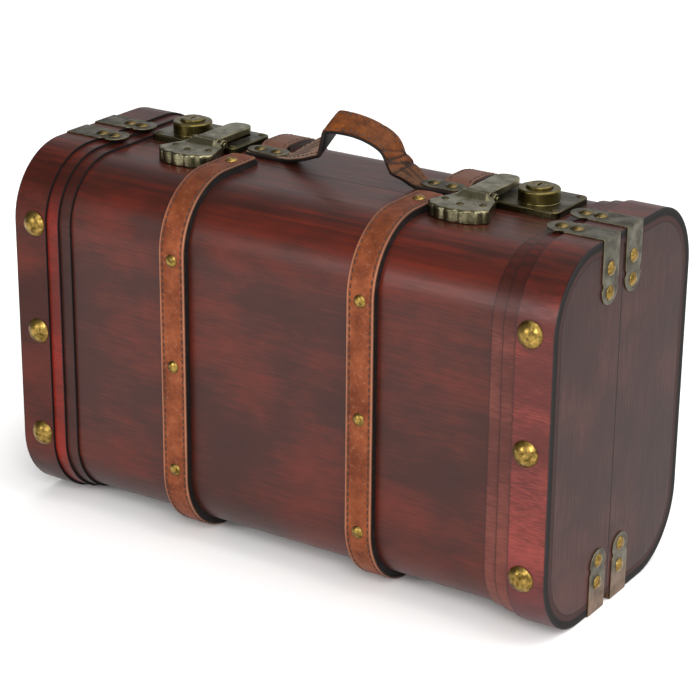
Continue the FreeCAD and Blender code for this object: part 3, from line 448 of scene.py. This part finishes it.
def cast_copy(name, body, grid, sharp_below):
    """A copy of a CAD node with its edges rounded as a worn casting has them, by smoothing an even grid
    of that size in mm. What lies below the height sharp_below, in mm, keeps its edges: there the plate
    sits on the skin and the bolt works in the lever."""
    piece = bpy.data.objects.new(name + "_cast", nodes[name].data.copy())
    bpy.context.scene.collection.objects.link(piece)
    remesh = piece.modifiers.new("even_grid", "REMESH")
    remesh.mode = "VOXEL"
    remesh.voxel_size = grid * MM
    mesh = bpy.data.meshes.new_from_object(piece.evaluated_get(bpy.context.evaluated_depsgraph_get()))
    piece.modifiers.clear()
    piece.data = mesh
    work = bmesh.new()
    work.from_mesh(mesh)
    rounded = [vertex for vertex in work.verts if vertex.co.z > sharp_below * MM]
    for _ in range(CAST_ROUNDS):
        bmesh.ops.smooth_vert(work, verts=rounded, factor=CAST_FACTOR, use_axis_x=True, use_axis_y=True,
                              use_axis_z=True)
    work.to_mesh(mesh)
    work.free()
    mesh.materials.clear()
    mesh.materials.append(hasp_bronze)
    mesh.shade_smooth()
    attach(piece, body)
    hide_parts(name)


for side in ("left", "right"):
    cast_copy(f"hasp_plate_{side}", "lid", PLATE_GRID, PLATE_SHARP_BELOW)
    cast_copy(f"hasp_lever_{side}", f"hasp_{side}", LEVER_GRID, LEVER_SHARP_BELOW)


# Leather strips with stitched edges

Station = namedtuple("Station", "along point across outward half")
# Columns of a strip's upper face, as shares of its half width; they crowd at the stitch line
HALF_COLUMNS = (0.2, 0.4, 0.55, 0.65, 0.70, 0.74, 0.78, 0.83, 0.90, 0.95, 0.98, 1.0)
COLUMNS = [-share for share in reversed(HALF_COLUMNS)] + [0.0] + list(HALF_COLUMNS)
# Points of its underside: share of the half width, and height in mm
UNDERSIDE = ((1.0, 0.35), (0.96, 0.0), (0.5, 0.0), (0.0, 0.0), (-0.5, 0.0), (-0.96, 0.0), (-1.0, 0.35))
EDGE_ROUND = 0.8
STITCH_INSET = 2.7
GROOVE_DEPTH = 0.32
GROOVE_REACH = 0.75
# Painted shade darkens a crease by this share for each millimetre of its depth
CREASE_SHADE = 3.0
SHARP_ANGLE = math.radians(50)


def edge_fall(distance):
    """How far the round edge lies under the face, at a distance from the strip's side."""
    if distance >= EDGE_ROUND:
        return 0.0
    return EDGE_ROUND - math.sqrt(EDGE_ROUND ** 2 - (EDGE_ROUND - distance) ** 2)


def face_height(station, share, thickness, relief):
    """Height of the upper face over the underside."""
    distance = station.half * (1 - abs(share))
    groove = GROOVE_DEPTH * math.exp(-((distance - STITCH_INSET) / GROOVE_REACH) ** 2)
    return thickness + relief(station, share) - groove - edge_fall(distance)


def leather_strip(name, stations, thickness, relief, materials):
    """A strip of hide along the stations, with round edges, grooved stitch lines and a dark back."""
    points, faces, kinds, shares, creases = [], [], [], [], []
    for station in stations:
        ring = [(share, face_height(station, share, thickness, relief)) for share in COLUMNS]
        for share, height in ring + list(UNDERSIDE):
            point = station.point + station.across * (share * station.half) + station.outward * height
            points.append(point * MM)
            shares.append(abs(share) if height > EDGE_ROUND else 1.0)
            # How much painted shade lies in a crease, from its depth
            sunk = -CREASE_SHADE * relief(station, share)
            creases.append(min(1.0, max(0.0, sunk)) if height > EDGE_ROUND else 0.0)
    ring_size = len(COLUMNS) + len(UNDERSIDE)
    for row in range(len(stations) - 1):
        for column in range(ring_size):
            after = (column + 1) % ring_size
            low, high = row * ring_size, (row + 1) * ring_size
            faces.append((low + column, low + after, high + after, high + column))
            kinds.append(0 if column < len(COLUMNS) - 1 else 1)
    faces.append(tuple(reversed(range(ring_size))))
    faces.append(tuple(range((len(stations) - 1) * ring_size, len(stations) * ring_size)))
    kinds += [1, 1]
    mesh = bpy.data.meshes.new(name)
    mesh.from_pydata(points, [], faces)
    mesh.polygons.foreach_set("material_index", kinds)
    mesh.attributes.new("across", "FLOAT", "POINT").data.foreach_set("value", shares)
    mesh.attributes.new("crease_shade", "FLOAT", "POINT").data.foreach_set("value", creases)
    return finished_piece(name, mesh, materials)


def finished_piece(name, mesh, materials):
    """The mesh as a smooth-shaded piece in the scene."""
    for material in materials:
        mesh.materials.append(material)
    mesh.validate()
    mesh.shade_smooth()
    mesh.set_sharp_from_angle(angle=SHARP_ANGLE)
    piece = bpy.data.objects.new(name, mesh)
    bpy.context.scene.collection.objects.link(piece)
    return piece


def station_at(stations, along):
    """The strip's own frame at a length along it."""
    index = 1
    while index < len(stations) - 1 and stations[index].along < along:
        index += 1
    first, second = stations[index - 1], stations[index]
    share = (along - first.along) / (second.along - first.along)
    return Station(along, first.point.lerp(second.point, share),
                   first.across.lerp(second.across, share).normalized(),
                   first.outward.lerp(second.outward, share).normalized(),
                   first.half + (second.half - first.half) * share)


# A stitch from hole to hole: share of its length, height over the groove in mm and share of its girth
STITCH_SHAPE = ((0.0, -0.40, 0.45), (0.14, 0.06, 0.90), (0.5, 0.22, 1.0), (0.86, 0.06, 0.90),
                (1.0, -0.40, 0.45))
STITCH_SIDES = 6
STITCH_PITCH = 5.0
STITCH_LENGTH = 3.9
STITCH_STRAY = 0.2
STITCH_SLANT = 0.22
STITCH_SEED = 11
THREAD_RADIUS = 0.5


def stitching(name, stations, thickness, relief, spans, thread, draws):
    """Rows of single stitches along both edges of a strip."""
    points, faces = [], []
    for low, high in spans:
        count = int((high - low) / STITCH_PITCH)
        for row in (-1, 1):
            for index in range(count):
                middle = low + (index + 0.5) * STITCH_PITCH
                first = middle - STITCH_LENGTH / 2 + draws.uniform(-STITCH_STRAY, STITCH_STRAY)
                slant = draws.uniform(-STITCH_SLANT, STITCH_SLANT)
                add_stitch(points, faces, stations, thickness, relief, row, first, slant)
    mesh = bpy.data.meshes.new(name)
    mesh.from_pydata(points, [], faces)
    return finished_piece(name, mesh, [thread])


def add_stitch(points, faces, stations, thickness, relief, row, first, slant):
    """One stitch, as a bent tube that dips into the hide at both ends."""
    base = len(points)
    for share, lift, girth in STITCH_SHAPE:
        station = station_at(stations, first + share * STITCH_LENGTH)
        inset = STITCH_INSET + slant * (share - 0.5) * 2
        place = row * (1 - inset / station.half)
        height = face_height(station, place, thickness, relief) + lift
        middle = station.point + station.across * (place * station.half) + station.outward * height
        for side in range(STITCH_SIDES):
            angle = 2 * math.pi * side / STITCH_SIDES
            spoke = station.across * math.cos(angle) + station.outward * math.sin(angle)
            points.append((middle + spoke * (girth * THREAD_RADIUS)) * MM)
    last = len(STITCH_SHAPE) - 1
    for ring in range(last):
        for side in range(STITCH_SIDES):
            after = (side + 1) % STITCH_SIDES
            low, high = base + ring * STITCH_SIDES, base + (ring + 1) * STITCH_SIDES
            faces.append((low + side, low + after, high + after, high + side))
    faces.append(tuple(base + side for side in reversed(range(STITCH_SIDES))))
    faces.append(tuple(base + last * STITCH_SIDES + side for side in range(STITCH_SIDES)))


# Straps over the two shells

STRAP_THICKNESS = 2.2
STRAP_CROWN = 0.22
STRAP_STEP = 1.5
STRAP_CORNER = 3.5
# Beyond the end of its backing, a rear strap is drawn down to the top
STRAP_TONGUE = {"lid": 0.0, "rear": 9.0}
STRAP_SEAM_END = 4.5
# The hide is flat round a stud and has its full crown again farther out
STUD_FLAT = 5.0
STUD_DIMPLE = 9.0


def strap_places(sign, depth, top_gap, tongue):
    """Places and outward directions down one shell, at even steps. The first length, the tongue, rises
    from the top of the shell to the end of the backing."""
    radius = BEND_RADIUS - STRAP_UNDERSIDE
    wall = PARTING_Y + sign * (depth - STRAP_UNDERSIDE)
    bend = wall - sign * radius
    top = FLOOR_GAP + BODY_HEIGHT - STRAP_UNDERSIDE
    bottom = FLOOR_GAP + STRAP_UNDERSIDE
    flat = abs(bend - PARTING_Y) - top_gap
    quarter = radius * math.pi / 2
    upright = top - bottom - 2 * radius
    foot = abs(bend - PARTING_Y) - HINGE_SETBACK
    total = tongue + flat + quarter + upright + quarter + foot
    count = round(total / STRAP_STEP)
    places = []
    for index in range(count + 1):
        along = total * index / count
        left = along - tongue
        if left < 0:
            share = along / tongue
            slope = (top - SKIN_TOP) * 6 * share * (1 - share) / tongue
            y = PARTING_Y + sign * (top_gap + left)
            z = SKIN_TOP + (top - SKIN_TOP) * share ** 2 * (3 - 2 * share)
            up, out = 1 / math.hypot(1, slope), -slope / math.hypot(1, slope)
        elif left <= flat:
            y, z, up, out = PARTING_Y + sign * (top_gap + left), top, 1.0, 0.0
        elif left <= flat + quarter:
            angle = (left - flat) / radius
            up, out = math.cos(angle), math.sin(angle)
            y, z = bend + sign * radius * out, top - radius + radius * up
        elif left <= flat + quarter + upright:
            up, out = 0.0, 1.0
            y, z = wall, top - radius - (left - flat - quarter)
        elif along <= total - foot:
            angle = (left - flat - quarter - upright) / radius
            up, out = -math.sin(angle), math.cos(angle)
            y, z = bend + sign * radius * out, bottom + radius + radius * up
        else:
            up, out = -1.0, 0.0
            y, z = bend - sign * (along - (total - foot)), bottom
        places.append((along, y, z, sign * out, up))
    return places, total


def strap_stations(shell, side_node):
    """The strap's own frames down one shell, as wide as its node and with rounded ends."""
    low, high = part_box(side_node)
    middle = (low.x + high.x) / 2 / MM
    half = (high.x - low.x) / 2 / MM
    sign, depth = (-1, FRONT_DEPTH) if shell == "lid" else (1, REAR_DEPTH)
    places, total = strap_places(sign, depth, STRAP_TOP_GAP[shell], STRAP_TONGUE[shell])
    stations = []
    for along, y, z, out, up in places:
        end = min(along, total - along)
        trim = 0.0
        if end < STRAP_CORNER:
            trim = STRAP_CORNER - math.sqrt(STRAP_CORNER ** 2 - (STRAP_CORNER - end) ** 2)
        # The strip runs down the shell, so its width runs the way that keeps its face outwards
        across = Vector((sign, 0, 0))
        stations.append(Station(along, Vector((middle, y, z)), across, Vector((0, out, up)), half - trim))
    return stations, total


def stud_places(shell):
    """Middles of the shell's stud heads, read from the loose parts of its stud node."""
    mesh = nodes[shell + "_strap_studs"].data
    parent = list(range(len(mesh.vertices)))

    def root(index):
        """The vertex that stands for the loose part of this one."""
        while parent[index] != index:
            parent[index] = parent[parent[index]]
            index = parent[index]
        return index

    by_place = {}
    for vertex in mesh.vertices:
        key = tuple(round(value, 6) for value in vertex.co)
        parent[vertex.index] = by_place.setdefault(key, vertex.index)
    for edge in mesh.edges:
        parent[root(edge.vertices[0])] = root(edge.vertices[1])
    groups = {}
    for vertex in mesh.vertices:
        groups.setdefault(root(vertex.index), []).append(vertex.co)
    return [sum(group, Vector()) / len(group) / MM for group in groups.values()]


def strap_relief(studs):
    """The relief of a strap, which is crowned and pressed down flat round each stud."""
    def relief(station, share):
        place = station.point + station.across * (share * station.half)
        near = min((place - stud).length for stud in studs)
        press = min(1.0, max(0.0, (near - STUD_FLAT) / (STUD_DIMPLE - STUD_FLAT)))
        return STRAP_CROWN * (1 - share ** 2) * press * press * (3 - 2 * press)

    return relief


draws = random.Random(STITCH_SEED)
for shell, body, materials in (("lid", "lid", [strap_hide, hide_edge]),
                               ("rear", "rear_case", [rear_strap_hide, rear_hide_edge])):
    relief = strap_relief(stud_places(shell))
    for side in ("left", "right"):
        node = f"{shell}_strap_{side}"
        stations, total = strap_stations(shell, node)
        strap = leather_strip(f"strap_{shell}_{side}", stations, STRAP_THICKNESS, relief, materials)
        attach(strap, body)
        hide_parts(node)
        seam = stitching(f"strap_seam_{shell}_{side}", stations, STRAP_THICKNESS, relief,
                         [(STRAP_SEAM_END, total - STRAP_SEAM_END)], strap_thread, draws)
        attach(seam, body)


# Handle, with its tilt in degrees

HANDLE_THICKNESS = 3.4
HANDLE_REAR = 19.5
HANDLE_FORWARD = 9.2
HANDLE_TILT = 27.0
HANDLE_STEP = 1.4
HANDLE_SEAM_END = 34.0
# The grip is crowned where the hide is wide: half width from which it begins, and until it is full
GRIP_CROWN = 0.35
GRIP_BEGINS = 8.2
GRIP_GROWS = 3.0
# Way of the hide's middle over the hand gap: place along the case and rise in mm, how far it lies forward
# and is tilted, as shares, and its width in mm
HANDLE_WAY = (
    (-88.0, 0.0, 0.0, 0.0, 15.0),
    (-70.0, 0.0, 0.0, 0.0, 15.0),
    (-57.5, 0.0, 0.0, 0.0, 15.2),
    (-48.0, 4.0, 0.22, 0.50, 19.0),
    (-34.0, 10.6, 0.50, 0.95, 22.0),
    (-23.5, 15.6, 0.72, 1.10, 23.0),
    (-19.1, 17.4, 0.78, 1.10, 23.0),
    (-17.4, 21.0, 0.82, 1.00, 23.0),
    (-15.8, 25.2, 0.88, 0.95, 23.0),
    (-14.2, 30.4, 0.95, 0.95, 23.0),
    (-12.4, 35.2, 1.0, 1.0, 23.0),
    (-8.5, 36.0, 0.94, 0.94, 23.0),
    (-2.5, 36.0, 0.85, 0.85, 23.0),
    (8.6, 34.6, 0.68, 0.68, 23.0),
    (18.6, 32.0, 0.57, 0.57, 23.0),
    (27.2, 28.4, 0.50, 0.50, 23.0),
    (32.2, 24.1, 0.38, 0.38, 23.0),
    (35.2, 18.7, 0.33, 0.33, 23.0),
    (38.2, 15.6, 0.52, 0.52, 23.0),
    (41.9, 13.2, 0.72, 0.72, 23.0),
    (48.0, 7.3, 0.36, 0.36, 20.7),
    (54.0, 1.4, 0.06, 0.06, 18.6),
    (57.5, 0.0, 0.0, 0.0, 16.6),
    (70.0, 0.0, 0.0, 0.0, 15.0),
    (88.0, 0.0, 0.0, 0.0, 15.0),
)


def eased(way, share):
    """A point between the middle two of four points of the way, on a smooth line through them."""
    result = []
    for before, near, far, after in zip(*way):
        bend = 2 * before - 5 * near + 4 * far - after + share * (3 * (near - far) + after - before)
        pull = 0.5 * ((far - before) + share * bend)
        result.append(near + pull * share)
    return result


def handle_stations():
    """The hide's own frames along the handle, on its underside."""
    samples = []
    last = len(HANDLE_WAY) - 1
    for index in range(last):
        near = [HANDLE_WAY[min(max(index + step, 0), last)] for step in (-1, 0, 1, 2)]
        run = math.dist(near[1][:2], near[2][:2])
        count = max(2, round(run / HANDLE_STEP))
        samples += [eased(near, step / count) for step in range(count)]
    samples.append(HANDLE_WAY[-1])
    rest = SKIN_TOP + HANDLE_THICKNESS / 2
    points = []
    for x, rise, forward, _, _ in samples:
        y = PARTING_Y + HANDLE_REAR - min(max(forward, 0), 1) * HANDLE_FORWARD
        points.append(Vector((x + HARDWARE_SHIFT, y, rest + max(rise, 0.0))))
    stations, along = [], 0.0
    for index, (_, _, _, tilted, width) in enumerate(samples):
        ahead = points[min(index + 1, len(points) - 1)]
        behind = points[max(index - 1, 0)]
        tilt = math.radians(max(tilted, 0) * HANDLE_TILT)
        across = Vector((0, math.cos(tilt), math.sin(tilt)))
        run = ahead - behind
        outward = (run - across * run.dot(across)).cross(across).normalized()
        if index:
            along += (points[index] - points[index - 1]).length
        underside = points[index] - outward * (HANDLE_THICKNESS / 2)
        stations.append(Station(along, underside, across, outward, width / 2))
    return stations


handle_way = handle_stations()
handle_total = handle_way[-1].along
# Pleats where the hide is gathered to the plates: place along, reach along, share across and depth
PLEATS = ((50.0, 17.0, -0.40, 0.8), (54.0, 17.0, 0.0, 1.0), (59.0, 16.0, 0.40, 0.9),
          (handle_total - 45.0, 9.0, -0.30, 0.9), (handle_total - 43.0, 9.0, 0.25, 1.0))
# Creases across the hide at its folds: place along, slant and depth
CREASES = ((handle_total - 64.0, 6.0, 0.6), (handle_total - 58.0, 4.0, 1.0),
           (handle_total - 53.0, 7.0, 0.9), (handle_total - 48.5, 2.0, 0.7),
           (80.0, 1.5, 0.5), (104.0, -3.0, 0.4), (122.0, 4.0, 0.3))
PLEAT_SPREAD = 0.13
CREASE_SPREAD = 1.3


def handle_relief(station, share):
    """Crown of the grip, gathered pleats and the creases of the folds."""
    grip = min(1.0, max(0.0, (station.half - GRIP_BEGINS) / GRIP_GROWS))
    height = GRIP_CROWN * grip * (1 - share ** 2)
    for place, reach, across, depth in PLEATS:
        near = math.exp(-((station.along - place) / reach) ** 2)
        height -= depth * near * math.exp(-((share - across) / PLEAT_SPREAD) ** 2)
    for place, slant, depth in CREASES:
        height -= depth * math.exp(-((station.along - place - slant * share) / CREASE_SPREAD) ** 2)
    return height


handle = leather_strip("handle", handle_way, HANDLE_THICKNESS, handle_relief, [handle_hide, hide_edge])
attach(handle, "rear_case")
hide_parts("handle_strap")
handle_seam = stitching("handle_seam", handle_way, HANDLE_THICKNESS, handle_relief,
                        [(HANDLE_SEAM_END, handle_total - HANDLE_SEAM_END)], handle_thread, draws)
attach(handle_seam, "rear_case")


# Floor, light and camera, in metres

FLOOR_REACH = 6.0
FLOOR_DROP = -0.0003
LIGHT_AIM = (0.0, 0.0, 0.14)


def pale_floor():
    """Matt white seamless paper: even, without shine, so that only the soft shadow shows on it."""
    material, tree = start("white_paper_floor")
    shader = add(tree, "BsdfPrincipled", {"Base Color": linear("#f6f5f4"), "Roughness": 0.9,
                                          "Specular IOR Level": 0.1})
    add(tree, "OutputMaterial", {"Surface": shader.outputs[0]})
    mesh = bpy.data.meshes.new("floor")
    signs = ((-1, -1), (1, -1), (1, 1), (-1, 1))
    corners = [(x * FLOOR_REACH, y * FLOOR_REACH, FLOOR_DROP) for x, y in signs]
    mesh.from_pydata(corners, [], [(0, 1, 2, 3)])
    mesh.materials.append(material)
    floor = bpy.data.objects.new("floor", mesh)
    bpy.context.scene.collection.objects.link(floor)


def soft_box(name, place, size, power):
    """A square studio lamp of that size and power, turned to the case."""
    light = bpy.data.lights.new(name, "AREA")
    light.shape = "SQUARE"
    light.size = size
    light.energy = power
    lamp = bpy.data.objects.new(name, light)
    lamp.location = place
    lamp.rotation_mode = "QUATERNION"
    lamp.rotation_quaternion = (Vector(LIGHT_AIM) - Vector(place)).to_track_quat("-Z", "Y")
    bpy.context.scene.collection.objects.link(lamp)


# Bright parts of the room: direction, how near to it they begin and are full, and strength
BACKDROP = ((-0.25, 0.90, 0.35), 0.55, 0.95, 0.55)
CEILING = ((0.62, 0.10, 0.78), 0.30, 0.90, 1.5)
ROOM = 0.14


def surroundings():
    """A dim room with a bright white backdrop behind the case and a white ceiling to its right."""
    world = bpy.data.worlds.new("studio")
    world.use_nodes = True
    tree = world.node_tree
    tree.nodes.clear()
    coord = add(tree, "TexCoord", {})
    strength = ROOM
    for direction, begin, full, bright in (BACKDROP, CEILING):
        nearness = add(tree, "VectorMath", {0: coord.outputs["Generated"], 1: direction},
                       operation="DOT_PRODUCT")
        patch = add(tree, "MapRange", {"Value": nearness.outputs["Value"], "From Min": begin,
                                       "From Max": full, "To Min": 0.0, "To Max": bright},
                    interpolation_type="SMOOTHSTEP")
        strength = add(tree, "Math", {0: strength, 1: patch.outputs[0]}, operation="ADD").outputs[0]
    glow = add(tree, "Background", {"Color": (1.0, 1.0, 1.0, 1.0), "Strength": strength})
    add(tree, "OutputWorld", {"Surface": glow.outputs[0]})
    bpy.context.scene.world = world


# Camera fitted to corners of the case in the photo, with its focal length in the photo's pixels and its
# sensor in millimetres
CAMERA_PLACE = Vector((0.85598, -1.30581, 0.74230))
CAMERA_AIM = Vector((0.00542, 0.0, 0.13902))
CAMERA_ROLL = math.radians(0.523)
SENSOR_WIDTH = 36.0
FOCAL_PIXELS = 2326.7
PHOTO_SIZE = 700
CAMERA_SHIFT = -0.0024

camera_data = bpy.data.cameras.new("camera")
camera_data.sensor_width = SENSOR_WIDTH
camera_data.lens = SENSOR_WIDTH * FOCAL_PIXELS / PHOTO_SIZE
camera_data.shift_y = CAMERA_SHIFT
camera = bpy.data.objects.new("camera", camera_data)
camera.location = CAMERA_PLACE
camera.rotation_mode = "QUATERNION"
facing_case = (CAMERA_AIM - CAMERA_PLACE).to_track_quat("-Z", "Y")
camera.rotation_quaternion = facing_case @ Quaternion((0, 0, 1), CAMERA_ROLL)
bpy.context.scene.collection.objects.link(camera)
bpy.context.scene.camera = camera

pale_floor()
surroundings()
soft_box("key", (1.3, -2.0, 1.6), 1.4, 53)
soft_box("fill_left", (-1.2, -2.3, 0.5), 1.2, 3)
soft_box("top", (1.0, 0.3, 2.4), 1.8, 24)
soft_box("window", (-0.75, -2.0, 0.95), 0.5, 14)
bpy.context.scene.view_settings.view_transform = "Standard"
